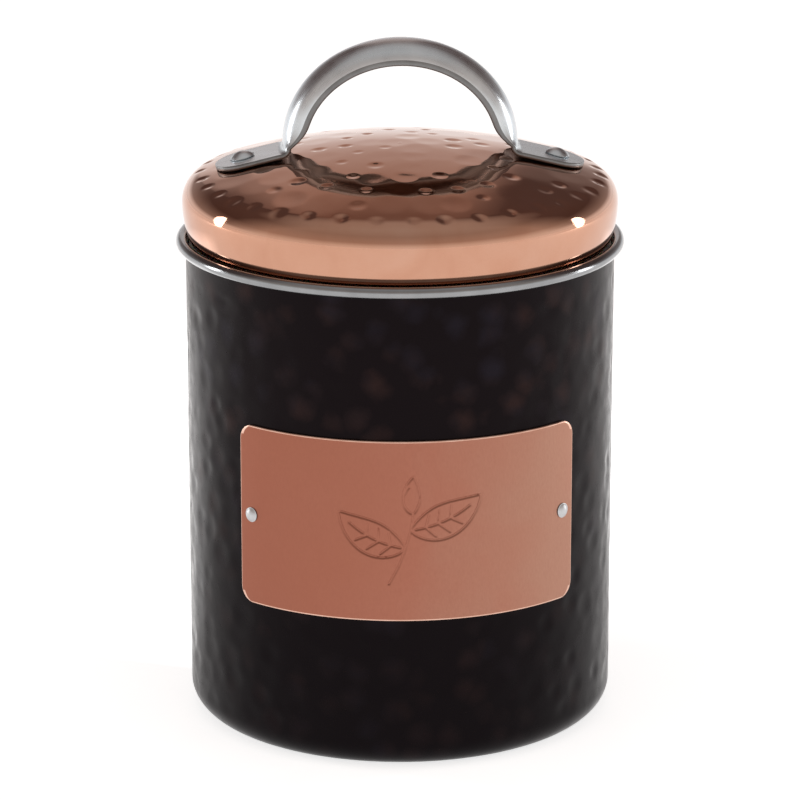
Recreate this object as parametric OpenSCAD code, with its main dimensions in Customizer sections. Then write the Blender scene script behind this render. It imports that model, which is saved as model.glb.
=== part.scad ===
// Tea caddy: a round hammered steel can with a rolled and wired rim, a riveted label plate
// and a lift-off domed lid that carries an arched strap handle.
// Millimetres, +Z up. The origin is the centre of the base, and the label plate faces -Y.

/* [Can] */
// Outer radius of the can's wall
can_r = 54; // [52:0.5:58]
// Height of the rolled rim's top above the base
can_h = 124; // [100:1:150]
// Thickness of the can's sheet
wall_t = 0.5; // [0.4:0.05:0.8]
// Outer radius of the corner between wall and base
base_corner_r = 7; // [3:0.5:9]
// Height by which the middle of the base is pressed upward
base_raise = 1; // [0.6:0.1:2]
// Radius of the wire inside the rolled rim
rim_wire_r = 0.92; // [0.7:0.02:1.2]

/* [Label plate] */
// Angle that the plate covers around the can
plate_angle = 97; // [60:1:150]
// Height of the plate
plate_h = 46; // [30:1:60]
// Height of the plate's centre above the base
plate_z = 62.4; // [45:0.2:65]
// Thickness of the plate
plate_t = 0.7; // [0.5:0.05:1]
// Radius of the plate's corners
plate_corner_r = 4; // [2:0.5:8]
// Angle from each end of the plate to its rivet
plate_rivet_inset = 4; // [3:0.25:8]

/* [Lid] */
// Distance by which the lid's bulged edge stands out past the can's wall
lid_overhang = 0.8; // [0.5:0.1:1.6]
// Height of the lid's crown above the rim
lid_rise = 23.1; // [22:0.1:25]
// Radius of the hammered dome
dome_r = 165; // [150:1:180]
// Radius of the bulged edge above its widest line
bulge_upper_r = 7; // [5:0.2:8]
// Radius of the bulged edge below its widest line
bulge_lower_r = 26; // [20:0.5:30]
// Thickness of the lid's sheet
lid_t = 0.5; // [0.4:0.05:0.7]

/* [Handle] */
// Outer width of the handle's arch
handle_span = 59; // [50:1:62]
// Height of the handle's top above the lid's crown
handle_rise = 26.7; // [22:0.1:34]
// Width of the handle's strap
handle_w = 15; // [10:0.5:18]
// Thickness of the handle's sheet
handle_t = 1.2; // [0.8:0.1:1.6]
// Depth of the strap's crowned section
handle_crown = 5.5; // [4:0.1:6.5]
// Distance from the axis to each handle rivet
handle_rivet_x = 39.2; // [38.5:0.1:42]
// Length of each tab past its rivet
handle_tab = 7; // [5:0.1:8]

/* [Hidden] */

$fn = 96;
cut = 1;            // how far a cutter runs past a face
slip = 0.05;        // radial clearance of a shank in its hole
seat_gap = 0.1;     // gap between sheets that lie on each other
turn_gap = 0.2;     // gap between the seal and the liner
neck_gap = 0.3;     // gap between the seal and the neck

black = [0.10, 0.09, 0.10];
copper = [0.80, 0.47, 0.36];
satin_copper = [0.74, 0.44, 0.35];
steel = [0.72, 0.73, 0.74];
silicone = [0.92, 0.92, 0.90];

// Rim: the sheet is rolled outward round the wire
curl_in = rim_wire_r + 0.03;
curl_out = curl_in + wall_t;
curl_r = can_r + curl_in;
curl_z = can_h - curl_out;
curl_end = -130;    // angle at which the rolled edge stops, under the bead
neck_r = can_r - wall_t;

// Base: a foot ring with the middle pressed upward
foot_outer_r = can_r - base_corner_r;
foot_inner_r = foot_outer_r - 3;
panel_r = foot_inner_r - 2;

// Plate and its rivets
plate_rivet_angle = plate_angle / 2 - plate_rivet_inset;
plate_in_r = can_r + seat_gap;
plate_out_r = plate_in_r + plate_t;
corner_inset = plate_corner_r - 0.1;
plate_shank_r = 1.2;
plate_head_r = 1.85;
plate_head_h = 0.8;
plate_washer_r = 2.5;
plate_washer_t = 0.5;
plate_tail_r = 1.7;
plate_tail_h = 0.5;

// Lid: a dome that meets the bulged edge at dome_tangent
lid_r = can_r + lid_overhang;
lid_top = can_h + lid_rise;
dome_cz = lid_top - dome_r;
bulge_cr = lid_r - bulge_upper_r;
bulge_cz = dome_cz + sqrt(pow(dome_r - bulge_upper_r, 2) - pow(bulge_cr, 2));
dome_tangent = atan2(bulge_cz - dome_cz, bulge_cr);
lower_cr = lid_r - bulge_lower_r;
lid_foot_r = neck_r - 0.5;
lid_foot_drop = sqrt(pow(bulge_lower_r, 2) - pow(lid_foot_r - lower_cr, 2));
lid_foot_z = bulge_cz - lid_foot_drop;
lid_foot_angle = -asin(lid_foot_drop / bulge_lower_r);
lip_in_r = neck_r - 3.4;

// Liner: a flanged pan under the lid, like a shallow spool
liner_skirt_r = lip_in_r - 0.3;
liner_t = 0.5;
liner_flange_r = lid_foot_r - 1;
liner_flange_z = lid_foot_z + lid_t + seat_gap;
plug_z = lid_foot_z - 7;
plug_rim_r = liner_skirt_r + 1.5;

// Seal: a silicone band round the liner with two wiping lips
seal_in_r = liner_skirt_r + turn_gap;
seal_band_t = 1.2;
seal_out_r = neck_r - neck_gap;
seal_low_z = plug_z + liner_t + turn_gap;
seal_high_z = lid_foot_z - turn_gap;
seal_lip_t = 0.9;
seal_lip_rise = 0.6;

// Handle: an elliptical arch, a fold at each foot and a flat tab along the dome
arch_a = handle_span / 2;
fold_r = 1.5;                // radius of the fold on its hollow side
tab_slope = asin(handle_rivet_x / dome_r);
tab_seat_z = dome_cz + dome_r * cos(tab_slope);
tab_lift = seat_gap + handle_t;
tab_top = [handle_rivet_x + tab_lift * sin(tab_slope), tab_seat_z + tab_lift * cos(tab_slope)];
fold_cx = arch_a + fold_r;
fold_cz = tab_top[1] + (fold_r - (fold_cx - tab_top[0]) * sin(tab_slope)) / cos(tab_slope);
arch_cz = fold_cz;           // the arch stands upright where the fold begins
arch_b = lid_top + handle_rise - arch_cz;
crown_fade = 20;             // arch angle at which the crown begins to flatten
crown_at_fold = 0.22;        // share of the crown that is left where the fold begins
arch_steps = 14;
fold_steps = 6;
end_steps = 5;
side_steps = 8;              // strips across the strap
head_r = 3;
head_h = 1.6;
shank_r = 1.5;
tail_r = 2.2;
tail_h = 0.7;
washer_r = 3.5;
washer_t = 0.6;

// Points along an arc about c, from angle a0 to angle a1
function arc(c, r, a0, a1, n) =
    [for (i = [0:n]) let (a = a0 + (a1 - a0) * i / n) [c[0] + r * cos(a), c[1] + r * sin(a)]];

function ease(t) = t * t * (3 - 2 * t);

// ---- can ----

module body_shell() {
    corner = [foot_outer_r, base_corner_r];
    curl = [curl_r, curl_z];
    color(black)
    difference() {
        rotate_extrude()
            polygon(concat(
                [[0, base_raise], [panel_r, base_raise], [foot_inner_r, 0]],
                arc(corner, base_corner_r, -90, 0, 8),
                arc(curl, curl_in, 180, curl_end, 20),
                arc(curl, curl_out, curl_end, 180, 24),
                arc(corner, base_corner_r - wall_t, 0, -90, 8),
                [[foot_inner_r, wall_t], [panel_r, base_raise + wall_t], [0, base_raise + wall_t]]));
        for (side = [-1, 1])
            at_plate_rivet(side)
                translate([0, 0, neck_r - cut])
                    cylinder(r = plate_shank_r + slip, h = wall_t + 2 * cut);
    }
}

module rim_wire() {
    color(steel)
    rotate_extrude()
        translate([curl_r, curl_z])
            circle(r = rim_wire_r, $fn = 32);
}

// ---- label plate and its fasteners ----

// Puts a rivet's own axis, +Z from the can's axis outward, at the left (-1) or right (1) rivet
module at_plate_rivet(side) {
    translate([0, 0, plate_z])
        rotate([90, 0, side * plate_rivet_angle])
            children();
}

// What is cut away to round one corner: a block less a post, both along the radius. The post
// stands a little past both edges, so that the arc meets them at a small angle
module corner_cutter() {
    reach = plate_corner_r + 2 * cut;
    translate([0, 0, plate_in_r - 3 * cut])
    difference() {
        cube([reach, reach, plate_t + 6 * cut]);
        translate([0, 0, -cut])
            cylinder(r = plate_corner_r, h = plate_t + 8 * cut, $fn = 48);
    }
}

module label_plate() {
    corner_angle = plate_angle / 2 - asin(corner_inset / plate_out_r);
    color(satin_copper)
    difference() {
        translate([0, 0, plate_z - plate_h / 2])
            rotate([0, 0, -90 - plate_angle / 2])
                rotate_extrude(angle = plate_angle)
                    translate([plate_in_r, 0])
                        square([plate_t, plate_h]);
        for (side = [-1, 1]) {
            at_plate_rivet(side)
                translate([0, 0, plate_in_r - cut])
                    cylinder(r = plate_shank_r + slip, h = plate_t + 2 * cut);
            for (up = [-1, 1])
                translate([0, 0, plate_z + up * (plate_h / 2 - corner_inset)])
                    rotate([90, 0, side * corner_angle])
                        rotate([0, 0, up > 0 ? 45 - side * 45 : 225 + side * 45])
                            corner_cutter();
        }
    }
}

// A rivet along +Z: domed head above z = grip, shank down to the peened tail
module rivet(head_radius, head_height, shank_radius, grip, tail_radius, tail_height) {
    cap_r = (pow(head_radius, 2) + pow(head_height, 2)) / (2 * head_height);
    cap_half = asin(head_radius / cap_r);
    color(steel)
    rotate_extrude($fn = 48)
        polygon(concat(
            [[0, -tail_height], [tail_radius * 0.8, -tail_height], [tail_radius, -tail_height / 2],
             [tail_radius, 0], [shank_radius, 0], [shank_radius, grip]],
            arc([0, grip + head_height - cap_r], cap_r, 90 - cap_half, 90, 8)));
}

module washer(outer_r, bore_r, thickness) {
    color(steel)
    difference() {
        cylinder(r = outer_r, h = thickness, $fn = 48);
        translate([0, 0, -cut])
            cylinder(r = bore_r, h = thickness + 2 * cut, $fn = 48);
    }
}

// The flat washer touches the hollow wall at its edge, so it sits in by the wall's sagitta
plate_washer_top = sqrt(pow(neck_r, 2) - pow(plate_washer_r, 2)) - seat_gap / 4;
plate_tail_top = plate_washer_top - plate_washer_t - seat_gap / 4;
plate_head_z = plate_out_r + seat_gap / 4;

module plate_rivet(side) {
    at_plate_rivet(side)
        translate([0, 0, plate_tail_top])
            rivet(plate_head_r, plate_head_h, plate_shank_r, plate_head_z - plate_tail_top,
                plate_tail_r, plate_tail_h);
}

module plate_washer(side) {
    at_plate_rivet(side)
        translate([0, 0, plate_washer_top - plate_washer_t])
            washer(plate_washer_r, plate_shank_r + slip, plate_washer_t);
}

module plate_rivet_left() { plate_rivet(-1); }
module plate_rivet_right() { plate_rivet(1); }
module plate_washer_left() { plate_washer(-1); }
module plate_washer_right() { plate_washer(1); }

// ---- lid ----

// Puts a handle rivet's own axis, +Z along the dome's normal, at its seat on the dome
module at_handle_rivet(side) {
    translate([side * handle_rivet_x, 0, tab_seat_z])
        rotate([0, side * tab_slope, 0])
            children();
}

module lid_shell() {
    dome_c = [0, dome_cz];
    bulge_c = [bulge_cr, bulge_cz];
    lower_c = [lower_cr, bulge_cz];
    inner_foot = bulge_cz - (lid_foot_z + lid_t);
    inner_foot_angle = -asin(inner_foot / (bulge_lower_r - lid_t));
    color(copper)
    difference() {
        rotate_extrude()
            polygon(concat(
                arc(dome_c, dome_r, 90, dome_tangent, 14),
                arc(bulge_c, bulge_upper_r, dome_tangent, 0, 12),
                arc(lower_c, bulge_lower_r, 0, lid_foot_angle, 8),
                [[lip_in_r, lid_foot_z], [lip_in_r, lid_foot_z + lid_t]],
                arc(lower_c, bulge_lower_r - lid_t, inner_foot_angle, 0, 8),
                arc(bulge_c, bulge_upper_r - lid_t, 0, dome_tangent, 12),
                arc(dome_c, dome_r - lid_t, dome_tangent, 90, 14)));
        for (side = [-1, 1])
            at_handle_rivet(side)
                translate([0, 0, -lid_t - cut])
                    cylinder(r = shank_r + slip, h = lid_t + 2 * cut, $fn = 48);
    }
}

module lid_liner() {
    skirt_in_r = liner_skirt_r - liner_t;
    color(steel)
    rotate_extrude()
        polygon([
            [0, plug_z], [plug_rim_r - liner_t / 2, plug_z], [plug_rim_r, plug_z + liner_t / 2],
            [plug_rim_r - liner_t / 2, plug_z + liner_t], [liner_skirt_r, plug_z + liner_t],
            [liner_skirt_r, liner_flange_z], [liner_flange_r, liner_flange_z],
            [liner_flange_r, liner_flange_z + liner_t], [skirt_in_r, liner_flange_z + liner_t],
            [skirt_in_r, plug_z + liner_t], [0, plug_z + liner_t]]);
}

module lid_seal() {
    band_r = seal_in_r + seal_band_t;
    band_h = seal_high_z - seal_low_z;
    color(silicone)
    rotate_extrude() {
        translate([seal_in_r, seal_low_z])
            square([seal_band_t, band_h]);
        for (share = [0.12, 0.58])
            translate([0, seal_low_z + share * band_h])
                polygon([
                    [band_r - seal_band_t / 2, 0], [seal_out_r, seal_lip_rise],
                    [seal_out_r, seal_lip_rise + seal_lip_t / 2], [band_r - seal_band_t / 2, seal_lip_t]]);
    }
}

// ---- handle and its fasteners ----

// One station of the right half: [x, z, angle of the side that faces out, crown share, half width]
function arch_station(i) =
    let (a = 90 * (1 - i / arch_steps),
         fade = max(0, (crown_fade - a) / crown_fade))
    [arch_a * cos(a), arch_cz + arch_b * sin(a), atan2(arch_a * sin(a), arch_b * cos(a)),
     1 - (1 - crown_at_fold) * pow(fade, 3), handle_w / 2];

function fold_station(i) =
    let (t = i / fold_steps, a = t * (90 - tab_slope))
    [fold_cx - fold_r * cos(a), fold_cz - fold_r * sin(a), a,
     crown_at_fold * (1 - ease(t)), handle_w / 2];

function end_station(i) =
    let (a = 84 * i / end_steps, s = handle_tab * sin(a))
    [tab_top[0] + s * cos(tab_slope), tab_top[1] - s * sin(tab_slope), 90 - tab_slope,
     0, handle_w / 2 * cos(a)];

right_half = concat(
    [for (i = [0:arch_steps]) arch_station(i)],
    [for (i = [0:fold_steps]) fold_station(i)],
    [for (i = [0:end_steps]) end_station(i)]);

function mirrored(s) = [-s[0], s[1], 180 - s[2], s[3], s[4]];

strap = concat(
    [for (i = [len(right_half) - 1:-1:1]) mirrored(right_half[i])],
    right_half);

// The closed section at one station: the outer face, then the hollow face back again
function strap_point(s, y, depth) =
    [s[0] - depth * cos(s[2]), y, s[1] - depth * sin(s[2])];

function strap_ring(s) =
    let (crown = s[3] * handle_crown, inner_w = s[4] - s[3] * handle_t,
         inner_crown = crown - s[3] * handle_t)
    concat(
        [for (j = [0:side_steps]) let (a = -90 + 180 * j / side_steps)
            strap_point(s, s[4] * sin(a), crown * (1 - cos(a)))],
        [for (j = [side_steps:-1:0]) let (a = -90 + 180 * j / side_steps)
            strap_point(s, inner_w * sin(a), handle_t + inner_crown * (1 - cos(a)))]);

// Splits a four-cornered face in two
function halves(q) = [[q[0], q[1], q[2]], [q[0], q[2], q[3]]];

module strap_solid() {
    ring_n = 2 * (side_steps + 1);
    last = len(strap) - 1;
    skin = [for (i = [0:last - 1], j = [0:ring_n - 1])
        [i * ring_n + j, i * ring_n + (j + 1) % ring_n,
         (i + 1) * ring_n + (j + 1) % ring_n, (i + 1) * ring_n + j]];
    start_cap = [for (j = [0:side_steps - 1]) [j + 1, j, ring_n - 1 - j, ring_n - 2 - j]];
    end_cap = [for (q = start_cap) [for (k = [3:-1:0]) last * ring_n + q[k]]];
    polyhedron(
        points = [for (s = strap, p = strap_ring(s)) p],
        faces = [for (q = concat(skin, start_cap, end_cap), face = halves(q)) face]);
}

module handle() {
    color(steel)
    difference() {
        strap_solid();
        for (side = [-1, 1])
            at_handle_rivet(side)
                cylinder(r = shank_r + slip, h = tab_lift + cut, $fn = 48);
    }
}

handle_washer_top = -lid_t - seat_gap;
handle_tail_top = handle_washer_top - washer_t - seat_gap / 4;
handle_head_z = tab_lift + seat_gap / 4;

module handle_rivet(side) {
    at_handle_rivet(side)
        translate([0, 0, handle_tail_top])
            rivet(head_r, head_h, shank_r, handle_head_z - handle_tail_top, tail_r, tail_h);
}

module handle_washer(side) {
    at_handle_rivet(side)
        translate([0, 0, handle_washer_top - washer_t])
            washer(washer_r, shank_r + slip, washer_t);
}

module handle_rivet_left() { handle_rivet(-1); }
module handle_rivet_right() { handle_rivet(1); }
module handle_washer_left() { handle_washer(-1); }
module handle_washer_right() { handle_washer(1); }

body_shell();
rim_wire();
label_plate();
plate_rivet_left();
plate_rivet_right();
plate_washer_left();
plate_washer_right();
lid_shell();
lid_liner();
lid_seal();
handle();
handle_rivet_left();
handle_rivet_right();
handle_washer_left();
handle_washer_right();
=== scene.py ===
# Looks of the tea caddy: a hammered and blackened can, a riveted copper label plate and a domed
# copper lid with a steel strap handle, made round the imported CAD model. Metres, +Z up, and the
# label plate faces -Y.
import math
import random

import bpy
import numpy as np
from mathutils import Matrix, Vector


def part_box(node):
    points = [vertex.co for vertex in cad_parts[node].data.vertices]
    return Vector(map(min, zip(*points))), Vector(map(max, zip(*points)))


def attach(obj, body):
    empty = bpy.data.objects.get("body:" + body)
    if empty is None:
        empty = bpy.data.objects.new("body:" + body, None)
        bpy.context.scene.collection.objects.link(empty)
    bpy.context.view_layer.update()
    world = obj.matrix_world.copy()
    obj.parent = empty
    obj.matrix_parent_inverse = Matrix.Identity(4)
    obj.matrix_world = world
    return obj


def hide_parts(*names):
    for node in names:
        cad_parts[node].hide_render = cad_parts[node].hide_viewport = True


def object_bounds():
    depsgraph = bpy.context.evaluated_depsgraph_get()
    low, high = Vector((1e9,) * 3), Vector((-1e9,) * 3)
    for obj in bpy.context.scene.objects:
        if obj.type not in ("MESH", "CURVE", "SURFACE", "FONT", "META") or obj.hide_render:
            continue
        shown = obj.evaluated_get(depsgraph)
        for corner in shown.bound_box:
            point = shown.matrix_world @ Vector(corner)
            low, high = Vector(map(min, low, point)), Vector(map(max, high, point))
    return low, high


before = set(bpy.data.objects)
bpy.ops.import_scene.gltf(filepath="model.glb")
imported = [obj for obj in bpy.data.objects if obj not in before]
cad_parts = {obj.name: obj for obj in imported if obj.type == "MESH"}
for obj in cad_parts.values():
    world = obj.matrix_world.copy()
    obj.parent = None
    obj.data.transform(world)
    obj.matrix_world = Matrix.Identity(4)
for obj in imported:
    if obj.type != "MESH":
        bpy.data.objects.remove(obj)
cad_low, cad_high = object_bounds()

MM = 0.001
TURN = 2 * math.pi


def degrees(angle):
    """An angle given in degrees, in radians."""
    return angle * math.pi / 180


# ---- sizes: from the CAD boxes, with the shape's own radii beside them ----

can_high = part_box("body_shell")[1]
wire_low, wire_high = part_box("rim_wire")
lid_low, lid_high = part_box("lid_shell")
plate_low, plate_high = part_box("label_plate")
handle_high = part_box("handle")[1]

SHEET = 0.5 * MM                 # thickness of the can's and the lid's sheet
SEAT_GAP = 0.1 * MM              # gap between sheets that lie on each other
WIRE_R = (wire_high.z - wire_low.z) / 2
CURL_R = wire_high.x - WIRE_R
CURL_Z = (wire_high.z + wire_low.z) / 2
CURL_OUT = can_high.z - CURL_Z
CURL_IN = CURL_OUT - SHEET
CURL_END = -130                  # where the rolled edge stops, in degrees
CAN_R = CURL_R - CURL_IN
NECK_R = CAN_R - SHEET
CORNER_R = 7 * MM
BASE_RAISE = 1 * MM
FOOT_OUTER_R = CAN_R - CORNER_R  # the ring that the can stands on
FOOT_INNER_R = FOOT_OUTER_R - 3 * MM
PANEL_R = FOOT_INNER_R - 2 * MM  # the raised middle of the base
PANEL_FIRST_R = 8 * MM           # innermost ring of the base's mesh

LID_R = lid_high.x
LID_TOP = lid_high.z
DOME_R = 165 * MM
BULGE_UPPER_R = 7 * MM
BULGE_LOWER_R = 26 * MM
DOME_Z = LID_TOP - DOME_R
BULGE_CENTRE_R = LID_R - BULGE_UPPER_R
BULGE_Z = DOME_Z + math.sqrt((DOME_R - BULGE_UPPER_R) ** 2 - BULGE_CENTRE_R ** 2)
DOME_TANGENT = math.degrees(math.atan2(BULGE_Z - DOME_Z, BULGE_CENTRE_R))
LOWER_CENTRE_R = LID_R - BULGE_LOWER_R
FOOT_Z = lid_low.z
FOOT_ANGLE = -math.degrees(math.asin((BULGE_Z - FOOT_Z) / BULGE_LOWER_R))
FOOT_ROUND = 0.2 * MM            # rounding under the lid's foot
LIP_R = NECK_R - 3.4 * MM

PLATE_IN_R = CAN_R + SEAT_GAP
PLATE_OUT_R = PLATE_IN_R + 0.7 * MM
PLATE_Z = (plate_low.z + plate_high.z) / 2
PLATE_HALF_H = (plate_high.z - plate_low.z) / 2
PLATE_HALF_W = PLATE_OUT_R * math.asin(plate_high.x / PLATE_OUT_R)
PLATE_CORNER_R = 4 * MM

STRAP_T = 1.2 * MM
STRAP_HALF_W = handle_high.y
STRAP_CROWN = 5.5 * MM
ARCH_A = 29.5 * MM               # half the arch's outer width
FOLD_R = 1.5 * MM
TAB_END = 7 * MM                 # length of each tab past its rivet


# ---- mesh tools ----

def line(start, end, steps):
    """Points from start to end, with both ends."""
    share = np.linspace(0, 1, steps + 1)[:, None]
    return np.array(start) * (1 - share) + np.array(end) * share


def arc(centre, radius, start, end, steps):
    """Points along an arc, with its angles in degrees."""
    a = np.radians(np.linspace(start, end, steps + 1))
    return np.column_stack([centre[0] + radius * np.cos(a), centre[1] + radius * np.sin(a)])


def ease(t):
    return t * t * (3 - 2 * t)


def ramp(value, start, end):
    """0 before start and 1 past end, with a smooth change between them."""
    return ease(np.clip((value - start) / (end - start), 0, 1))


def make_object(name, points, faces, sharp=35):
    """A smooth-shaded mesh object; edges over the sharp angle, in degrees, stay crisp."""
    mesh = bpy.data.meshes.new(name)
    mesh.from_pydata([tuple(p) for p in points], [], faces)
    mesh.validate()
    mesh.shade_smooth()
    mesh.set_sharp_from_angle(angle=degrees(sharp))
    made = bpy.data.objects.new(name, mesh)
    bpy.context.scene.collection.objects.link(made)
    return made


def revolve(name, profile, segments, shift=None, sharp=35):
    """Turns a closed (radius, height) profile, which starts and ends on the axis, about Z.
    shift holds a (radius, height) change for each point of each ring. The faces come band by
    band along the profile."""
    rings = np.repeat(profile[1:-1][:, None, :], segments, axis=1)
    if shift is not None:
        rings = rings + shift[1:-1]
    angle = TURN * np.arange(segments) / segments
    x = rings[:, :, 0] * np.cos(angle)
    y = rings[:, :, 0] * np.sin(angle)
    points = np.stack([x, y, rings[:, :, 1]], axis=2).reshape(-1, 3)
    pole = len(points)
    points = np.vstack([points, [0, 0, profile[0][1]], [0, 0, profile[-1][1]]])
    turn = [(i, (i + 1) % segments) for i in range(segments)]
    last = (len(rings) - 1) * segments
    faces = [(pole, j, i) for i, j in turn]
    for k in range(0, last, segments):
        faces.extend((k + i, k + j, k + segments + j, k + segments + i) for i, j in turn)
    faces.extend((pole + 1, last + i, last + j) for i, j in turn)
    return make_object(name, points, faces, sharp)


def paint(piece, material):
    piece.data.materials.clear()
    piece.data.materials.append(material)


def paint_more(piece, index, *materials):
    """Gives more materials to a painted piece; index holds each face's material number."""
    for material in materials:
        piece.data.materials.append(material)
    piece.data.polygons.foreach_set("material_index", np.asarray(index, dtype=np.int32))


def settle(piece, body, slot, *nodes):
    """Puts a piece on its body, in place of its CAD nodes. slot is not used."""
    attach(piece, body)
    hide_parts(*nodes)


# ---- node materials ----

def add(tree, kind, settings=None, **inputs):
    """A new node. settings are its properties; inputs are values or sockets, named with _ for a
    space."""
    node = tree.nodes.new(kind)
    for key, value in (settings or {}).items():
        setattr(node, key, value)
    for key, value in inputs.items():
        connect(tree, value, node.inputs[key.replace("_", " ")])
    return node


def connect(tree, value, socket):
    if isinstance(value, bpy.types.NodeSocket):
        tree.links.new(value, socket)
    else:
        socket.default_value = value


def calculate(tree, operation, first, second=0.0):
    node = tree.nodes.new("ShaderNodeMath")
    node.operation = operation
    connect(tree, first, node.inputs[0])
    connect(tree, second, node.inputs[1])
    return node.outputs[0]


def noise(tree, coordinates, scale, detail=3.0, roughness=0.55, distortion=0.0, w=None):
    node = add(tree, "ShaderNodeTexNoise", {"noise_dimensions": "4D" if w is not None else "3D"},
               Vector=coordinates, Scale=scale, Detail=detail, Roughness=roughness,
               Distortion=distortion)
    if w is not None:
        connect(tree, w, node.inputs["W"])
    return node.outputs[0]


def colours(tree, factor, *stops):
    """A colour ramp through (position, colour) stops."""
    node = tree.nodes.new("ShaderNodeValToRGB")
    tree.links.new(factor, node.inputs[0])
    elements = node.color_ramp.elements
    while len(elements) < len(stops):
        elements.new(0.5)
    for element, (position, colour) in zip(elements, stops):
        element.position = position
        element.color = (*colour, 1)
    return node.outputs[0]


def spread(tree, factor, low, high, from_low=0.3, from_high=0.7):
    """Maps a factor to the range from low to high."""
    node = add(tree, "ShaderNodeMapRange", None, Value=factor, From_Min=from_low,
               From_Max=from_high, To_Min=low, To_Max=high)
    return node.outputs[0]


def blend(tree, factor, first, second):
    node = add(tree, "ShaderNodeMixRGB", None, Fac=factor, Color1=first, Color2=second)
    return node.outputs[0]


def bump(tree, height, distance, strength=1.0, below=None):
    node = add(tree, "ShaderNodeBump", None, Height=height, Distance=distance, Strength=strength)
    if below is not None:
        tree.links.new(below, node.inputs["Normal"])
    return node.outputs[0]


def start_material(name, **fixed):
    """A new material, its tree, its shader and its object coordinates; fixed sets shader values."""
    material = bpy.data.materials.new(name)
    material.use_nodes = True
    tree = material.node_tree
    shader = tree.nodes["Principled BSDF"]
    for key, value in fixed.items():
        shader.inputs[key.replace("_", " ")].default_value = value
    place = tree.nodes.new("ShaderNodeTexCoord").outputs["Object"]
    return material, tree, shader, place


def finish_material(tree, shader, colour, roughness, normal):
    tree.links.new(colour, shader.inputs["Base Color"])
    tree.links.new(roughness, shader.inputs["Roughness"])
    tree.links.new(normal, shader.inputs["Normal"])


def stretched(tree, place, scale):
    """Coordinates scaled by a different factor along each axis, for grain that runs one way."""
    node = add(tree, "ShaderNodeMapping", None, Vector=place, Scale=scale)
    return node.outputs[0]


def axes(tree, place):
    """The x, y and z of a vector."""
    return add(tree, "ShaderNodeSeparateXYZ", None, Vector=place).outputs


def distance_from_axis(tree, x, y):
    return calculate(tree, "SQRT", calculate(
        tree, "ADD", calculate(tree, "POWER", x, 2), calculate(tree, "POWER", y, 2)))


def turned_grain(tree, place, scale):
    """Noise in fine rings about Z, as a lathe or a polishing wheel leaves it."""
    round_share = 0.06           # how fast the noise changes round a ring, against across it
    x, y, z = axes(tree, place)
    radius = distance_from_axis(tree, x, y)
    slow = add(tree, "ShaderNodeCombineXYZ", None,
               X=calculate(tree, "MULTIPLY", x, round_share),
               Y=calculate(tree, "MULTIPLY", y, round_share), Z=z)
    return noise(tree, slow.outputs[0], scale, 2.0, w=calculate(tree, "MULTIPLY", radius, scale))


def black_lacquer():
    """Thin black lacquer that lets brown and bluish heat stains through. The stains lie in
    patches of a hammer blow's size. Painted shade darkens the lacquer towards the base and fades
    the stains there."""
    material, tree, shader, place = start_material(
        "black_lacquer", Metallic=0.0, IOR=1.19, Specular_Tint=(0.90, 0.70, 0.76, 1))
    stain_spacing = 8 * MM
    shade_full_z = 20 * MM
    shade_none_z = 95 * MM
    cloud = noise(tree, place, 45, 3, distortion=0.6)
    mottle = noise(tree, place, 190, 4)
    stains = colours(tree, cloud, (0.40, (0.0100, 0.0088, 0.0135)),
                     (0.50, (0.0160, 0.0100, 0.0108)), (0.60, (0.0225, 0.0115, 0.0102)))
    # Painted shade: 0 at the base, where the lacquer is darkest and its stains faintest, up to 1
    # higher up
    height = spread(tree, axes(tree, place)[2], 0.0, 1.0, shade_full_z, shade_none_z)
    cells = add(tree, "ShaderNodeTexVoronoi", None, Vector=place, Scale=1 / stain_spacing)
    from_middle = calculate(tree, "ADD", cells.outputs["Distance"],
                            spread(tree, mottle, -0.12, 0.12))
    amount = calculate(tree, "MULTIPLY", spread(tree, from_middle, 1.0, 0.0, 0.08, 0.52),
                       spread(tree, height, 0.3, 1.0, 0.0, 1.0))
    # Painted shade: the black is darker towards the base
    ground = blend(tree, height, (0.0012, 0.0010, 0.0014, 1), (0.0036, 0.0024, 0.0029, 1))
    colour = blend(tree, amount, ground, stains)
    roughness = spread(tree, noise(tree, place, 320, 3), 0.17, 0.29)
    grain = bump(tree, noise(tree, place, 2600, 2), 0.02 * MM, 0.25)
    finish_material(tree, shader, colour, roughness, bump(tree, mottle, 0.10 * MM, 0.5, grain))
    return material


def bare_steel(name, tint, low, high):
    """Rolled or turned steel with fine rings, from its tint and its range of roughness."""
    material, tree, shader, place = start_material(name, Metallic=1.0)
    rings = turned_grain(tree, place, 900)
    cloud = noise(tree, place, 130, 3)
    dark = tuple(0.82 * c for c in tint)
    colour = colours(tree, cloud, (0.3, dark), (0.7, tint))
    roughness = calculate(tree, "ADD", spread(tree, rings, low, high),
                          spread(tree, cloud, -0.03, 0.03))
    finish_material(tree, shader, colour, roughness, bump(tree, rings, 0.01 * MM, 0.3))
    return material


def strap_steel():
    """The handle's satin steel, brushed along the strap."""
    material, tree, shader, place = start_material("strap_steel", Metallic=1.0)
    brushed = noise(tree, stretched(tree, place, (60, 2600, 60)), 1.0, 3)
    cloud = noise(tree, place, 150, 4)
    colour = colours(tree, cloud, (0.3, (0.65, 0.69, 0.72)), (0.7, (0.76, 0.80, 0.825)))
    roughness = calculate(tree, "ADD", spread(tree, brushed, 0.22, 0.33),
                          spread(tree, cloud, -0.03, 0.05))
    finish_material(tree, shader, colour, roughness, bump(tree, brushed, 0.008 * MM, 0.35))
    return material


def painted_shade_steel():
    """The strap's hollow side and its edges: rougher steel, darkened with painted shade."""
    material, tree, shader, place = start_material("painted_shade_steel", Metallic=1.0)
    cloud = noise(tree, place, 170, 4)
    colour = colours(tree, cloud, (0.3, (0.19, 0.19, 0.19)), (0.7, (0.28, 0.28, 0.28)))
    finish_material(tree, shader, colour, spread(tree, cloud, 0.32, 0.44),
                    bump(tree, noise(tree, place, 900, 3), 0.01 * MM, 0.3))
    return material


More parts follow.
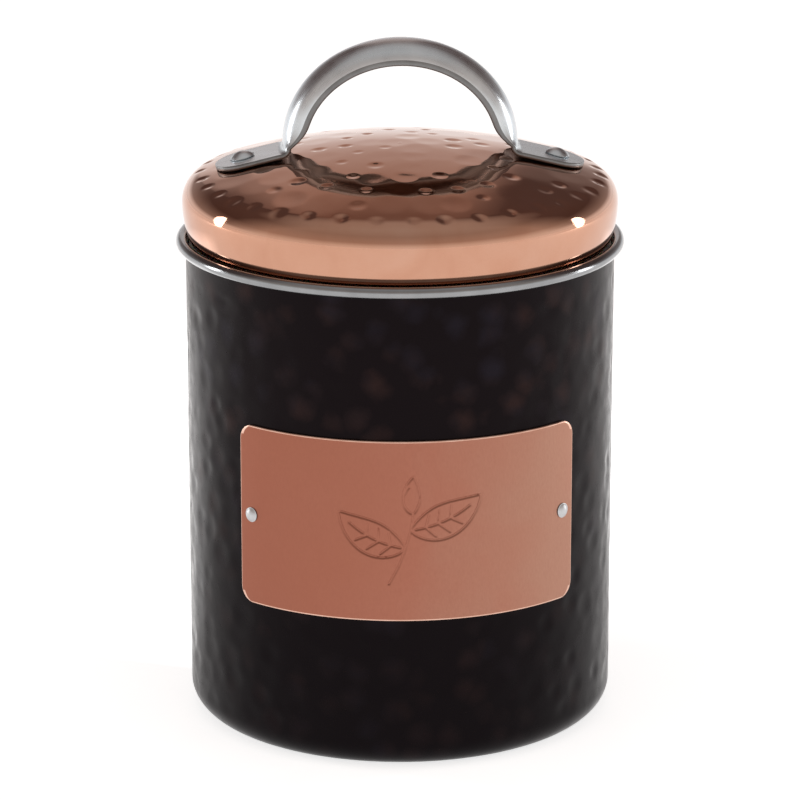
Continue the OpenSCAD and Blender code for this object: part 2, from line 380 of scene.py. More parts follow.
def polished_copper():
    """The lid's mirror finish, with faint smears and polishing rings."""
    material, tree, shader, place = start_material("polished_copper", Metallic=1.0)
    cloud = noise(tree, place, 60, 4, distortion=0.4)
    smears = noise(tree, stretched(tree, place, (90, 260, 90)), 1.0, 4)
    colour = colours(tree, cloud, (0.25, (0.54, 0.272, 0.18)), (0.5, (0.585, 0.315, 0.215)),
                     (0.78, (0.615, 0.355, 0.255)))
    roughness = spread(tree, smears, 0.02, 0.06)
    finish_material(tree, shader, colour, roughness,
                    bump(tree, turned_grain(tree, place, 700), 0.004 * MM, 0.2))
    return material


def satin_copper():
    """The label plate's finish, with painted light that pales it from its left end to its right."""
    material, tree, shader, place = start_material("satin_copper", Metallic=1.0)
    pale_x = 36 * MM
    cloud = noise(tree, place, 38, 3, distortion=0.3)
    grain = noise(tree, stretched(tree, place, (2400, 2400, 900)), 1.0, 3)
    along = axes(tree, place)[0]
    # Painted light: paler towards the right end, as if lit from the right; the cloud adds patchy
    # patina
    patina_and_painted_light = calculate(tree, "ADD", spread(tree, along, 0.0, 1.0, -pale_x, pale_x),
                       spread(tree, cloud, -0.12, 0.12))
    colour = colours(tree, patina_and_painted_light, (0.0, (0.335, 0.122, 0.078)), (0.5, (0.385, 0.152, 0.102)),
                     (1.0, (0.43, 0.225, 0.16)))
    colour = blend(tree, spread(tree, grain, 0.0, 0.12), colour, (0.30, 0.11, 0.075, 1))
    roughness = calculate(tree, "ADD", spread(tree, grain, 0.36, 0.44),
                          spread(tree, cloud, -0.04, 0.04))
    finish_material(tree, shader, colour, roughness, bump(tree, grain, 0.012 * MM, 0.35))
    return material


def edge_highlight_copper():
    """The label plate's rounded edge and sides, with a painted highlight."""
    material, tree, shader, place = start_material("edge_highlight_copper", Metallic=1.0)
    highlight_cloud = noise(tree, place, 220, 3)
    colour = colours(tree, highlight_cloud, (0.3, (0.68, 0.40, 0.30)), (0.7, (0.84, 0.56, 0.45)))
    finish_material(tree, shader, colour, spread(tree, highlight_cloud, 0.26, 0.36),
                    bump(tree, noise(tree, place, 1400, 2), 0.01 * MM, 0.3))
    return material


def silicone():
    """The lid's seal, slightly translucent."""
    material, tree, shader, place = start_material(
        "silicone", Metallic=0.0, IOR=1.41, Subsurface_Weight=0.35, Subsurface_Scale=0.002)
    cloud = noise(tree, place, 120, 3)
    colour = colours(tree, cloud, (0.3, (0.74, 0.74, 0.70)), (0.7, (0.84, 0.84, 0.81)))
    finish_material(tree, shader, colour, spread(tree, cloud, 0.42, 0.56),
                    bump(tree, noise(tree, place, 900, 3), 0.02 * MM, 0.3))
    return material


def floor_paper():
    """Pale paper that glows a little. A brighter pool lies close behind the caddy, turned
    slightly to the left, and gives the can's sides their pale edges."""
    material, tree, shader, place = start_material(
        "floor_paper", Metallic=0.0, Emission_Color=(1, 1, 1, 1))
    glow = 0.74
    pool_glow = 0.55             # added to the glow within the pool
    pool_full = 0.33             # metres from the axis at which the pool starts to fade
    pool_end = 0.43
    left_turn = 0.16
    x, y = axes(tree, place)[:2]
    away = distance_from_axis(tree, x, y)
    backwards = calculate(tree, "SUBTRACT", y, calculate(tree, "MULTIPLY", x, left_turn))
    heading = calculate(tree, "DIVIDE", backwards, away)
    pool = calculate(tree, "MULTIPLY", spread(tree, heading, 0.0, 1.0, 0.52, 0.68),
                     spread(tree, away, 1.0, 0.0, pool_full, pool_end))
    tree.links.new(calculate(tree, "ADD", calculate(tree, "MULTIPLY", pool, pool_glow), glow),
                   shader.inputs["Emission Strength"])
    fibres = noise(tree, place, 60, 4)
    colour = colours(tree, fibres, (0.3, (0.90, 0.90, 0.90)), (0.7, (0.93, 0.93, 0.93)))
    finish_material(tree, shader, colour, spread(tree, fibres, 0.75, 0.85),
                    bump(tree, noise(tree, place, 400, 3), 0.05 * MM, 0.1))
    return material


BLACK = black_lacquer()
RIM_STEEL = bare_steel("rim_steel", (0.34, 0.35, 0.36), 0.12, 0.20)
INSIDE_STEEL = bare_steel("inside_steel", (0.66, 0.66, 0.66), 0.34, 0.48)
PLAIN_STEEL = bare_steel("plain_steel", (0.55, 0.55, 0.56), 0.24, 0.38)
RIVET_STEEL = bare_steel("rivet_steel", (0.60, 0.61, 0.62), 0.34, 0.46)
STRAP_STEEL = strap_steel()
PAINTED_SHADE_STEEL = painted_shade_steel()
COPPER = polished_copper()
SATIN_COPPER = satin_copper()
EDGE_HIGHLIGHT_COPPER = edge_highlight_copper()
SILICONE = silicone()


# ---- hammered can ----

CAN_SEED = 7
CAN_SEGMENTS = 400
OUTSIDE_STEPS = 130              # rings up the can's wall, outside and inside
INSIDE_STEPS = 42
CURL_STEPS = 26
DENT_SPACING = 7.8 * MM          # between the blows of one row
DENT_JITTER = 0.34               # how far a blow strays along its row, as a share of the spacing
DENT_STRAY = 1.9 * MM            # and how far it strays up or down
ROW_SPACING = 6.6 * MM
HAMMER_LOW = 7 * MM              # the rows start above this
HAMMER_HIGH = 116.5 * MM         # the dents stop here, under the bead
DENTS_NONE_Z = 4 * MM            # towards the base the dents fade out
DENTS_FULL_Z = 10 * MM
CAN_DENT_SHAPE = 1.7             # power that sets how softly a dent meets the wall


def can_dents():
    """Hammer blows as (distance round the can, height, radius, depth), in irregular rows."""
    rng = random.Random(CAN_SEED)
    around = TURN * CAN_R
    per_row = round(around / DENT_SPACING)
    rows = int((HAMMER_HIGH - HAMMER_LOW) / ROW_SPACING)
    dents = []
    for row in range(rows + 1):
        z = HAMMER_LOW + ROW_SPACING * (row + 0.3)
        phase = rng.uniform(0, 1)
        for k in range(per_row):
            dents.append((
                (k + phase + rng.uniform(-DENT_JITTER, DENT_JITTER)) * around / per_row,
                z + rng.uniform(-DENT_STRAY, DENT_STRAY),
                rng.uniform(2.7, 4.6) * MM,
                (0.05 + 0.21 * rng.random() ** 1.5) * MM))
    return dents


def can_hammering(heights):
    """Depth of the hammered wall at each height and segment."""
    around = TURN * CAN_R
    s = around * np.arange(CAN_SEGMENTS) / CAN_SEGMENTS
    depth = np.zeros((len(heights), CAN_SEGMENTS))
    for s0, z0, radius, deep in can_dents():
        rows = np.abs(heights - z0) < radius
        if not rows.any():
            continue
        gap = np.abs((s - s0 + around / 2) % around - around / 2)
        q = (gap[None, :] ** 2 + (heights[rows][:, None] - z0) ** 2) / radius ** 2
        depth[rows] += deep * np.clip(1 - q, 0, 1) ** CAN_DENT_SHAPE
    fade = ramp(heights, DENTS_NONE_Z, DENTS_FULL_Z)
    fade *= 1 - ramp(heights, HAMMER_HIGH - 2 * MM, HAMMER_HIGH)
    return depth * fade[:, None]


def make_can():
    corner = (FOOT_OUTER_R, CORNER_R)
    curl = (CURL_R, CURL_Z)
    outside = np.vstack([
        [(0, BASE_RAISE)], line((PANEL_FIRST_R, BASE_RAISE), (PANEL_R, BASE_RAISE), 3),
        line((FOOT_INNER_R, 0), (FOOT_OUTER_R, 0), 2),
        arc(corner, CORNER_R, -84, -6, 13),
        line((CAN_R, CORNER_R), (CAN_R, CURL_Z), OUTSIDE_STEPS),
        arc(curl, CURL_IN, 160, CURL_END, 12)])
    inside = np.vstack([
        arc(curl, CURL_OUT, CURL_END, 172, CURL_STEPS),
        line((NECK_R, CURL_Z), (NECK_R, CORNER_R), INSIDE_STEPS),
        arc(corner, CORNER_R - SHEET, -8, -90, 8), [(FOOT_INNER_R, SHEET)],
        line((PANEL_R, BASE_RAISE + SHEET), (PANEL_FIRST_R, BASE_RAISE + SHEET), 3),
        [(0, BASE_RAISE + SHEET)]])
    profile = np.vstack([outside, inside])
    on_wall = (np.abs(profile[:, 0] - CAN_R) < SHEET + 0.01 * MM) & (profile[:, 1] < HAMMER_HIGH)
    shift = np.zeros((len(profile), CAN_SEGMENTS, 2))
    shift[on_wall, :, 0] = -can_hammering(profile[on_wall, 1])
    can = revolve("can_hammered", profile, CAN_SEGMENTS, shift)
    paint(can, BLACK)
    band = np.arange(len(can.data.polygons)) // CAN_SEGMENTS
    rim_start = len(outside) - 1
    inside_start = rim_start + CURL_STEPS
    paint_more(can, (band >= rim_start) * 1 + (band >= inside_start), RIM_STEEL, INSIDE_STEEL)
    settle(can, "can", "blackened_steel", "body_shell")


# ---- lid ----

LID_SEED = 11
LID_SEGMENTS = 500
DOME_STEPS = 116
BULGE_STEPS = 30
RING_SPACING = 7.6 * MM          # between the rings of hammer blows
BLOW_SPACING = 8.2 * MM          # between the blows of one ring
HAMMERED_R = 50.2 * MM           # radius of the outermost ring
BLOW_STRAY = 1.3                 # millimetres by which a blow strays in or out
OUTERMOST_STRAY = 0.3            # share of that in the outermost ring
SMALL_BLOWS = 0.45               # share of small, deep blows inside the outermost ring
LID_DENT_SHAPE = 1.6             # power that sets how softly a dent meets the dome


def lid_dents():
    """Hammer blows as (x, y, radius, depth), in rings about the axis. The outermost ring has
    small, deep blows only; inside it they are mixed with broad, shallow ones."""
    rng = random.Random(LID_SEED)
    dents = []
    rings = round(HAMMERED_R / RING_SPACING)
    for ring in range(rings + 1):
        ring_r = HAMMERED_R * ring / rings
        count = max(1, round(TURN * ring_r / BLOW_SPACING))
        phase = rng.uniform(0, 1)
        outermost = ring == rings
        for k in range(count):
            angle = TURN * (k + phase + rng.uniform(-0.2, 0.2)) / count
            stray = rng.uniform(-BLOW_STRAY, BLOW_STRAY) * (OUTERMOST_STRAY if outermost else 1)
            r = ring_r + stray * MM
            if outermost:
                radius, depth = rng.uniform(1.8, 2.5), rng.uniform(0.18, 0.32)
            elif rng.random() < SMALL_BLOWS:
                radius, depth = rng.uniform(1.6, 2.6), rng.uniform(0.11, 0.26)
            else:
                radius, depth = rng.uniform(3.6, 6.0), rng.uniform(0.04, 0.11)
            dents.append((r * math.cos(angle), r * math.sin(angle), radius * MM, depth * MM))
    return dents


def lid_hammering(radii):
    """Depth of the hammered dome at each radius and segment."""
    angle = TURN * np.arange(LID_SEGMENTS) / LID_SEGMENTS
    depth = np.zeros((len(radii), LID_SEGMENTS))
    for x0, y0, radius, deep in lid_dents():
        rows = np.abs(radii - math.hypot(x0, y0)) < radius
        x = radii[rows][:, None] * np.cos(angle)
        y = radii[rows][:, None] * np.sin(angle)
        q = ((x - x0) ** 2 + (y - y0) ** 2) / radius ** 2
        depth[rows] += deep * np.clip(1 - q, 0, 1) ** LID_DENT_SHAPE
    return depth


def make_lid():
    """The spun lid. Each dent is pressed in square to the lid's outline."""
    dome = (0, DOME_Z)
    bulge = (BULGE_CENTRE_R, BULGE_Z)
    lower = (LOWER_CENTRE_R, BULGE_Z)
    inner_foot = -math.degrees(math.asin(
        (BULGE_Z - FOOT_Z - SHEET) / (BULGE_LOWER_R - SHEET)))
    outer = np.vstack([
        arc(dome, DOME_R, 90, DOME_TANGENT, DOME_STEPS),
        arc(bulge, BULGE_UPPER_R, DOME_TANGENT - 2, 0, BULGE_STEPS),
        arc(lower, BULGE_LOWER_R, -1, FOOT_ANGLE, 10)])
    profile = np.vstack([
        outer,
        arc((outer[-1][0] - 1.25 * FOOT_ROUND, FOOT_Z), FOOT_ROUND, -20, -90, 3),
        [(LIP_R, FOOT_Z), (LIP_R, FOOT_Z + SHEET)],
        arc(lower, BULGE_LOWER_R - SHEET, inner_foot, 0, 6),
        arc(bulge, BULGE_UPPER_R - SHEET, 8, DOME_TANGENT, 8),
        arc(dome, DOME_R - SHEET, DOME_TANGENT + 1, 90, 12)])
    count = len(outer)
    shift = np.zeros((len(profile), LID_SEGMENTS, 2))
    depth = lid_hammering(outer[:, 0])
    depth[outer[:, 1] < BULGE_Z] = 0
    fade = ramp(outer[:, 0], HAMMERED_R + 1 * MM, LID_R - 0.6 * MM)
    depth *= 1 - fade[:, None]
    tangent = np.gradient(outer, axis=0)
    tangent /= np.hypot(tangent[:, 0], tangent[:, 1])[:, None]
    shift[:count, :, 0] = depth * tangent[:, 1:]
    shift[:count, :, 1] = -depth * tangent[:, :1]
    lid = revolve("lid_spun", profile, LID_SEGMENTS, shift)
    paint(lid, COPPER)
    settle(lid, "lid", "polished_copper", "lid_shell")


# ---- label plate ----

EDGE_ROUND = 0.28 * MM           # rounding of the plate's outer edge
EDGE_BAND = 1 * MM               # the mesh's close columns along the plate's ends
GROOVE_HALF_W = 0.42 * MM
GROOVE_DEPTH = 0.30 * MM
SPRIG_SCALE = 1.16
SPRIG_HALF_W = 22 * MM           # the pressed drawing's area, where the mesh is fine
SPRIG_HALF_H = 14.5 * MM
FINE_STEP = 0.2 * MM
COARSE_STEP = 1.5 * MM
LEAF_STEPS = 48
RIB_START = 3                    # steps of a leaf at which its midrib begins and ends
RIB_END = 40
VEIN_START = 6                   # steps at which the first vein leaves the midrib
VEIN_END = 15                    # and at which it would meet the leaf's edge
VEIN_SPAN = 24                   # steps over which the veins are spread
VEIN_REACH = 0.72                # a vein's length, as a share of the way to the edge
FAR = 1.0                        # metres, past any line of the drawing


def leaf(base, heading, length, width, bend):
    """A leaf's two edges and its midrib, from base along a spine that bends as it goes."""
    t = np.linspace(0, 1, LEAF_STEPS + 1)
    turn = np.radians(heading + bend * t)
    along = length / LEAF_STEPS * np.column_stack([np.cos(turn), np.sin(turn)])
    spine = np.array(base) + np.vstack([[0, 0], np.cumsum(along[:-1], axis=0)])
    side = np.column_stack([-np.sin(turn), np.cos(turn)])
    half = (width / 2 * np.sin(math.pi * t ** 0.85) ** 0.85)[:, None]
    return [spine + side * half, spine - side * half, spine[RIB_START:RIB_END]]


def leaf_veins(outline, pairs):
    """Short veins that leave a leaf's midrib towards the tip, on both sides."""
    left, right, rib = outline
    veins = []
    for k in range(pairs):
        further = round(VEIN_SPAN * k / pairs)
        start = rib[VEIN_START + further]
        for edge in (left, right):
            end = edge[VEIN_END + further]
            veins.append(line(start, start * (1 - VEIN_REACH) + end * VEIN_REACH, 8))
    return veins


def sprig_lines():
    """Two leaves and a bud on a stem, as lines in metres about the plate's centre."""
    bends = np.array([(-4.5, -11.5), (-2.4, -7.5), (-0.9, -3.5), (0.1, 0.5), (0.6, 4)]) * MM
    fine = np.linspace(0, len(bends) - 1, 33)
    stem = np.column_stack([np.interp(fine, range(len(bends)), bends[:, axis])
                            for axis in (0, 1)])
    left = leaf((-1.0 * MM, -3.6 * MM), 172, 16.5 * MM, 7.4 * MM, -42)
    right = leaf((0.1 * MM, 0.4 * MM), 6, 17 * MM, 7.6 * MM, 38)
    bud = leaf((0.6 * MM, 4 * MM), 100, 8.2 * MM, 3.6 * MM, -22)
    fold = leaf((0.6 * MM, 4 * MM), 118, 6 * MM, 2.2 * MM, -40)
    drawn = [stem, *left, *leaf_veins(left, 3), *right, *leaf_veins(right, 3), *bud[:2], fold[0]]
    return [SPRIG_SCALE * path for path in drawn]


def distance_to_lines(points, lines):
    """Distance of each (x, y) point to the nearest of the lines."""
    nearest = np.full(len(points), FAR)
    for path in lines:
        for a, b in zip(path[:-1], path[1:]):
            span = b - a
            share = np.clip(((points - a) @ span) / (span @ span), 0, 1)
            gap = points - a - share[:, None] * span
            nearest = np.minimum(nearest, np.hypot(gap[:, 0], gap[:, 1]))
    return nearest


def graded(fine_half, coarse_half):
    """Positions from -coarse_half to coarse_half, close together within fine_half."""
    middle = np.arange(-fine_half, fine_half + FINE_STEP / 2, FINE_STEP)
    steps = max(1, round((coarse_half - fine_half) / COARSE_STEP))
    outer = np.linspace(fine_half, coarse_half, steps + 1)[1:]
    return np.concatenate([-outer[::-1], middle, outer])


def make_plate():
    """The curved label plate: a grid whose ends follow the rounded corners, with its front edge
    rounded over and the sprig pressed in."""
    straight_h = PLATE_HALF_H - PLATE_CORNER_R
    straight_w = PLATE_HALF_W - PLATE_CORNER_R
    bend = np.radians(np.linspace(0, 90, 15))[1:]
    rise = straight_h + PLATE_CORNER_R * np.sin(bend)
    rows = np.concatenate([-rise[::-1], graded(SPRIG_HALF_H, straight_h), rise])
    rim = PLATE_HALF_W - np.array([0.30, 0.18, 0.09, 0.03, 0]) * MM
    columns = np.concatenate([-rim[::-1], graded(SPRIG_HALF_W, PLATE_HALF_W - EDGE_BAND), rim])
    past = np.clip(np.abs(rows) - straight_h, 0, PLATE_CORNER_R)
    reach = straight_w + np.sqrt(PLATE_CORNER_R ** 2 - past ** 2)
    u = columns[None, :] * (reach / PLATE_HALF_W)[:, None]
    v = np.repeat(rows[:, None], len(columns), axis=1)

    qx = np.abs(u) - straight_w
    qy = np.abs(v) - straight_h
    outside = np.hypot(np.maximum(qx, 0), np.maximum(qy, 0))
    inset = PLATE_CORNER_R - outside - np.minimum(np.maximum(qx, qy), 0)
    short = np.clip(EDGE_ROUND - inset, 0, EDGE_ROUND)
    drop = EDGE_ROUND - np.sqrt(EDGE_ROUND ** 2 - short ** 2)
    flat = np.column_stack([u.ravel(), v.ravel()])
    drawn = (np.abs(flat[:, 0]) < SPRIG_HALF_W) & (np.abs(flat[:, 1]) < SPRIG_HALF_H)
    gap = np.full(len(flat), FAR)
    gap[drawn] = distance_to_lines(flat[drawn], sprig_lines())
    groove = GROOVE_DEPTH * np.clip(1 - (gap / GROOVE_HALF_W) ** 2, 0, 1) ** 1.5
    front_r = PLATE_OUT_R - drop - groove.reshape(u.shape)
    back_r = np.full(u.shape, PLATE_IN_R)

    def wrap(radius):
        angle = u / PLATE_OUT_R
        return np.stack([radius * np.sin(angle), -radius * np.cos(angle), PLATE_Z + v],
                        axis=2).reshape(-1, 3)

    n_rows, n_columns = u.shape
    back = n_rows * n_columns
    rounded = (short > 0).ravel()
    faces = []
    highlighted = []
    for i in range(n_rows - 1):
        for j in range(n_columns - 1):
            k = i * n_columns + j
            quad = (k, k + 1, k + n_columns + 1, k + n_columns)
            faces.append(quad)
            faces.append(tuple(back + q for q in reversed(quad)))
            highlighted += [rounded[list(quad)].any(), False]
    top = (n_rows - 1) * n_columns
    loop = (list(range(n_columns)) + [i * n_columns - 1 for i in range(2, n_rows + 1)]
            + [top + j for j in range(n_columns - 2, -1, -1)]
            + [i * n_columns for i in range(n_rows - 2, 0, -1)])
    faces.extend((b, a, back + a, back + b) for a, b in zip(loop, loop[1:] + loop[:1]))
    plate = make_object("label_pressed", np.vstack([wrap(front_r), wrap(back_r)]), faces, 50)
    paint(plate, SATIN_COPPER)
    # Painted highlight on the faces along the rounded edge and round the plate's sides
    paint_more(plate, highlighted + [True] * len(loop), EDGE_HIGHLIGHT_COPPER)
    settle(plate, "can", "satin_copper", "label_plate")


# ---- rivets ----

CAP_SHARE = 0.92                 # share of a head's height that its domed cap takes
EDGE_SHARE = 0.2                 # the rounding of its edge, as a share of its height
TAIL_ROUND = 0.2 * MM
PLATE_RIVET = {"head_r": 1.85 * MM, "head_h": 0.8 * MM, "shank_r": 1.2 * MM,
               "tail_r": 1.7 * MM, "tail_h": 0.5 * MM}
HANDLE_RIVET = {"head_r": 3.15 * MM, "head_h": 1.7 * MM, "shank_r": 1.5 * MM,
                "tail_r": 2.2 * MM, "tail_h": 0.7 * MM}
PLATE_TAIL_GAP = 0.28 * MM       # from the middle of a plate washer to its rivet's tail
HANDLE_TAIL_GAP = 0.33 * MM      # and the same for a handle washer


def make_rivet(name, seat, axis, grip, material, head_r, head_h, shank_r, tail_r, tail_h):
    """A domed rivet whose head sits at seat, with axis pointing out of the sheet. Its tail
    starts at a distance of grip under the head."""
    cap_h = CAP_SHARE * head_h
    cap_r = (head_r ** 2 + cap_h ** 2) / (2 * cap_h)
    cap_half = math.degrees(math.asin(head_r / cap_r))
    edge = EDGE_SHARE * head_h
    tail_z = -grip - tail_h
    profile = np.vstack([
        [(0, tail_z)],
        arc((tail_r - TAIL_ROUND, tail_z + TAIL_ROUND), TAIL_ROUND, -90, 0, 4),
        [(tail_r, -grip), (shank_r, -grip), (shank_r, 0)],
        arc((head_r - edge, edge), edge, -90, 0, 5),
        arc((0, head_h - cap_r), cap_r, 90 - cap_half + 3, 90, 14)])
    rivet = revolve(name, profile, 56, sharp=50)
    turn = Vector((0, 0, 1)).rotation_difference(axis).to_matrix().to_4x4()
    rivet.data.transform(Matrix.Translation(seat) @ turn)
    paint(rivet, material)
    return rivet


def make_rivets():
    for side in ("left", "right"):
        washer_low, washer_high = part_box("plate_washer_" + side)
        middle = (washer_low + washer_high) / 2
        axis = Vector((middle.x, middle.y, 0)).normalized()     # straight out of the can
        seat = axis * (PLATE_OUT_R + SEAT_GAP / 4) + Vector((0, 0, middle.z))
        grip = seat.xy.length - middle.xy.length + PLATE_TAIL_GAP
        rivet = make_rivet("plate_rivet_domed_" + side, seat, axis, grip, RIVET_STEEL,
                           **PLATE_RIVET)
        settle(rivet, "can", "plain_steel", "plate_rivet_" + side)

        washer_low, washer_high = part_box("handle_washer_" + side)
        middle = (washer_low + washer_high) / 2
        axis = (middle - Vector((0, 0, DOME_Z))).normalized()   # straight out of the dome
        seat = Vector((0, 0, DOME_Z)) + axis * (DOME_R + STRAP_T + SEAT_GAP * 1.25)
        grip = (seat - middle).length + HANDLE_TAIL_GAP
        rivet = make_rivet("handle_rivet_domed_" + side, seat, axis, grip, STRAP_STEEL,
                           **HANDLE_RIVET)
        settle(rivet, "lid", "handle_steel", "handle_rivet_" + side)


# ---- handle ----

CROWN_FADE = 20                  # arch angle, in degrees, at which the crown begins to flatten
CROWN_AT_FOLD = 0.22             # share of the crown that is left where the fold begins
ARCH_STEPS = 64
FOLD_STEPS = 18
END_STEPS = 12
END_TURN = 88                    # degrees of the tab's round end; short of 90, to keep a width
ACROSS_STEPS = 28
EDGE_TURN = (30, 60, 90, 120, 150)      # angles, in degrees, round the strap's edge
PAINTED_SHADE_STEPS = 2                   # steps on each flank, next to the edge, that get the painted shade


def handle_stations():
    """Stations of the right half as (x, z, outward angle, share of the crown, half width)."""
    low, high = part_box("handle_washer_right")
    middle = (low + high) / 2
    slope = math.atan2(middle.x, middle.z - DOME_Z)
    lift = DOME_R + SEAT_GAP + STRAP_T
    tab_x = lift * math.sin(slope)
    tab_z = DOME_Z + lift * math.cos(slope)
    fold_x = ARCH_A + FOLD_R
    fold_z = tab_z + (FOLD_R - (fold_x - tab_x) * math.sin(slope)) / math.cos(slope)
    rise = handle_high.z - fold_z
    stations = []
    for i in range(ARCH_STEPS + 1):
        a = math.pi / 2 * (1 - i / ARCH_STEPS)
        fade = max(0, 1 - math.degrees(a) / CROWN_FADE)
        stations.append((ARCH_A * math.cos(a), fold_z + rise * math.sin(a),
                         math.atan2(ARCH_A * math.sin(a), rise * math.cos(a)),
                         1 - (1 - CROWN_AT_FOLD) * fade ** 3, STRAP_HALF_W))
    for i in range(1, FOLD_STEPS + 1):
        t = i / FOLD_STEPS
        a = t * (math.pi / 2 - slope)
        stations.append((fold_x - FOLD_R * math.cos(a), fold_z - FOLD_R * math.sin(a), a,
                         CROWN_AT_FOLD * (1 - ease(t)), STRAP_HALF_W))
    for i in range(END_STEPS + 1):
        a = degrees(END_TURN * i / END_STEPS)
        reach = TAB_END * math.sin(a)
        stations.append((tab_x + reach * math.cos(slope), tab_z - reach * math.sin(slope),
                         math.pi / 2 - slope, 0, STRAP_HALF_W * math.cos(a)))
    return stations


def strap_section(share, half_w):
    """The strap's closed section as (across, depth) points, with rounded edges."""
    crown = share * STRAP_CROWN
    inner_w = half_w - share * STRAP_T
    inner_crown = crown - share * STRAP_T
    a = np.linspace(-math.pi / 2, math.pi / 2, ACROSS_STEPS + 1)
    outer = np.column_stack([half_w * np.sin(a), crown * (1 - np.cos(a))])
    inner = np.column_stack([inner_w * np.sin(a), STRAP_T + inner_crown * (1 - np.cos(a))])
    middle = (outer[-1] + inner[-1]) / 2
    arm = outer[-1] - middle
    out = np.array([1 - share, share]) * np.linalg.norm(arm) * 0.5
    out /= math.hypot(1 - share, share)
    b = np.radians(EDGE_TURN)[:, None]
    edge = middle + arm * np.cos(b) + out * np.sin(b)
    other = edge[::-1] * np.array([-1, 1])
    return np.vstack([outer, edge, inner[::-1], other])


def make_handle():
    right = handle_stations()
    left = [(-x, z, math.pi - angle, share, w) for x, z, angle, share, w in right[:0:-1]]
    points = []
    for x, z, angle, share, half_w in left + right:
        for across, depth in strap_section(share, half_w):
            points.append((x - depth * math.cos(angle), across, z - depth * math.sin(angle)))
    ring = len(strap_section(1, STRAP_HALF_W))
    count = len(points) // ring
    faces = [(k * ring + j, k * ring + (j + 1) % ring, (k + 1) * ring + (j + 1) % ring,
              (k + 1) * ring + j) for k in range(count - 1) for j in range(ring)]
    # Painted shade on the strap's edges and its hollow side
    shaded_faces = [not PAINTED_SHADE_STEPS <= j < ACROSS_STEPS - PAINTED_SHADE_STEPS for j in range(ring)] * (count - 1)
    faces.append(tuple(reversed(range(ring))))
    faces.append(tuple(range(len(points) - ring, len(points))))
    handle = make_object("handle_strap", points, faces, 50)
    paint(handle, STRAP_STEEL)
    paint_more(handle, shaded_faces + [False, False], PAINTED_SHADE_STEEL)
    settle(handle, "lid", "handle_steel", "handle")


make_can()
make_lid()
make_plate()
make_rivets()
make_handle()

# The CAD's own pieces that stay
for node, finish in (("rim_wire", PLAIN_STEEL), ("lid_liner", PLAIN_STEEL),
                     ("plate_washer_left", PLAIN_STEEL), ("plate_washer_right", PLAIN_STEEL),
                     ("handle_washer_left", PLAIN_STEEL), ("handle_washer_right", PLAIN_STEEL),
                     ("lid_seal", SILICONE)):
    paint(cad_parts[node], finish)


# ---- studio ----

# Places and sizes in metres
FLOOR_HALF = 5.0
LIGHT_PLACES = {"side_left": (-1.10, 0.38, 0.24), "side_right": (1.15, 0.25, 0.24)}
LIGHT_AIM = (0, 0, 0.13)
LIGHT_W = 0.17
LIGHT_H = 0.56
LIGHT_RADIANCE = 6.0             # brightness of a light as seen
CAMERA_DISTANCE = 1.05
CAMERA_ELEVATION = 16.37         # degrees
CAMERA_AZIMUTH = -2.6            # degrees; to the left of the label plate's middle
AIM_SHARE = 0.4595               # height that the camera aims at, as a share of the caddy's
SENSOR_W = 36                    # millimetres, like the lens
LENS = 185.3


def make_floor():
    half = FLOOR_HALF
    floor = make_object("floor", [(-half, -half, 0), (half, -half, 0), (half, half, 0),
                                  (-half, half, 0)], [(0, 1, 2, 3)])
    paint(floor, floor_paper())


def make_lights():
    """Two tall oval lights, a little behind the caddy on either side. They make the hot spots on
    the lid's bulge."""
    for name, place in LIGHT_PLACES.items():
        light = bpy.data.lights.new(name, "AREA")
        light.shape = "ELLIPSE"
        light.size = LIGHT_W
        light.size_y = LIGHT_H
        light.energy = math.pi * LIGHT_W * LIGHT_H * LIGHT_RADIANCE
        lamp = bpy.data.objects.new(name, light)
        lamp.location = place
        lamp.rotation_mode = "QUATERNION"
        lamp.rotation_quaternion = (Vector(LIGHT_AIM) - Vector(place)).to_track_quat("-Z", "Y")
        bpy.context.scene.collection.objects.link(lamp)


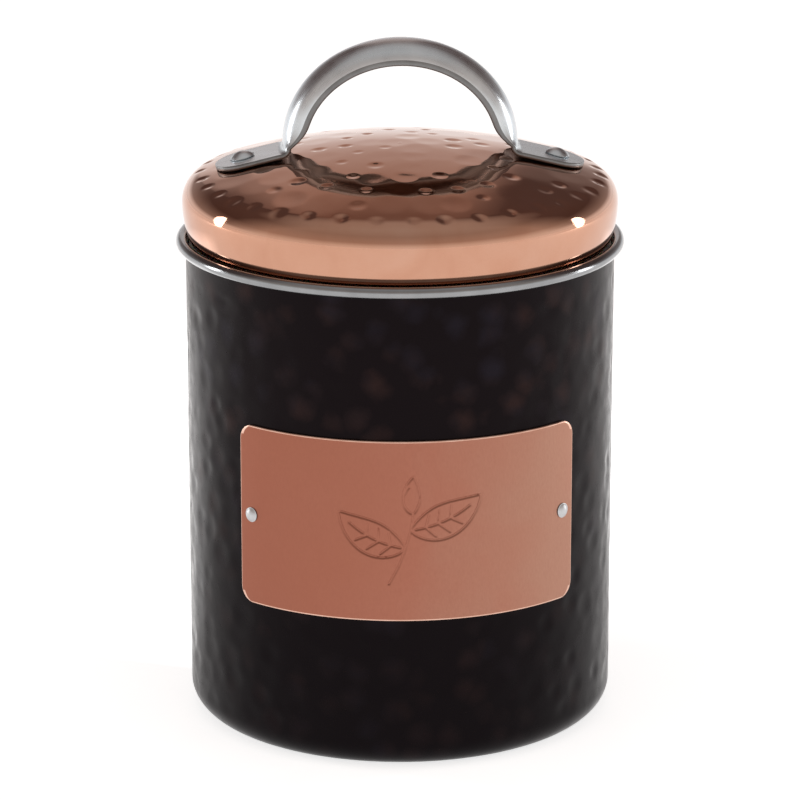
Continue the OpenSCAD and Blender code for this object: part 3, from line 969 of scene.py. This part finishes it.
def make_world():
    """White at the horizon, and dimmer and browner overhead. Behind the caddy a pale strip rises
    between darker sides. Each ramp runs from the horizon to straight overhead."""
    world = bpy.data.worlds.new("studio")
    bpy.context.scene.world = world
    world.use_nodes = True
    tree = world.node_tree
    place = tree.nodes.new("ShaderNodeTexCoord").outputs["Generated"]
    x, y, z = axes(tree, place)
    height = spread(tree, z, 0, 1, 0.0, 1.0)
    front = colours(tree, height, (0.0, (1.0, 0.99, 0.98)), (0.12, (0.86, 0.83, 0.80)),
                    (0.32, (0.54, 0.46, 0.42)), (0.7, (0.43, 0.38, 0.355)),
                    (0.95, (0.48, 0.46, 0.45)))
    strip = colours(tree, height, (0.05, (0.99, 0.99, 1.0)), (0.28, (0.62, 0.54, 0.52)),
                    (0.6, (0.44, 0.34, 0.31)), (0.74, (0.22, 0.15, 0.13)),
                    (0.95, (0.46, 0.43, 0.42)))
    sides = colours(tree, height, (0.05, (0.96, 0.96, 0.97)), (0.16, (0.35, 0.31, 0.30)),
                    (0.45, (0.10, 0.07, 0.065)), (0.74, (0.12, 0.085, 0.08)),
                    (0.95, (0.46, 0.43, 0.42)))
    aside = spread(tree, calculate(tree, "ABSOLUTE", x), 0, 1, 0.12, 0.20)
    behind = spread(tree, y, 0, 1, -0.2, 0.25)
    sky = blend(tree, behind, front, blend(tree, aside, strip, sides))
    tree.links.new(sky, tree.nodes["Background"].inputs["Color"])
    tree.nodes["Background"].inputs["Strength"].default_value = 1.0


def make_camera():
    elevation = degrees(CAMERA_ELEVATION)
    azimuth = degrees(CAMERA_AZIMUTH)
    aim = Vector((0, 0, AIM_SHARE * cad_high.z))
    data = bpy.data.cameras.new("camera")
    data.sensor_width = SENSOR_W
    data.lens = LENS
    data.clip_start = 0.05
    data.clip_end = 20
    camera = bpy.data.objects.new("camera", data)
    back = Vector((math.sin(azimuth) * math.cos(elevation),
                   -math.cos(azimuth) * math.cos(elevation), math.sin(elevation)))
    camera.location = aim + back * CAMERA_DISTANCE
    camera.rotation_mode = "QUATERNION"
    camera.rotation_quaternion = (-back).to_track_quat("-Z", "Y")
    bpy.context.scene.collection.objects.link(camera)
    bpy.context.scene.camera = camera


make_floor()
make_world()
make_lights()
make_camera()
bpy.context.scene.view_settings.view_transform = "Standard"
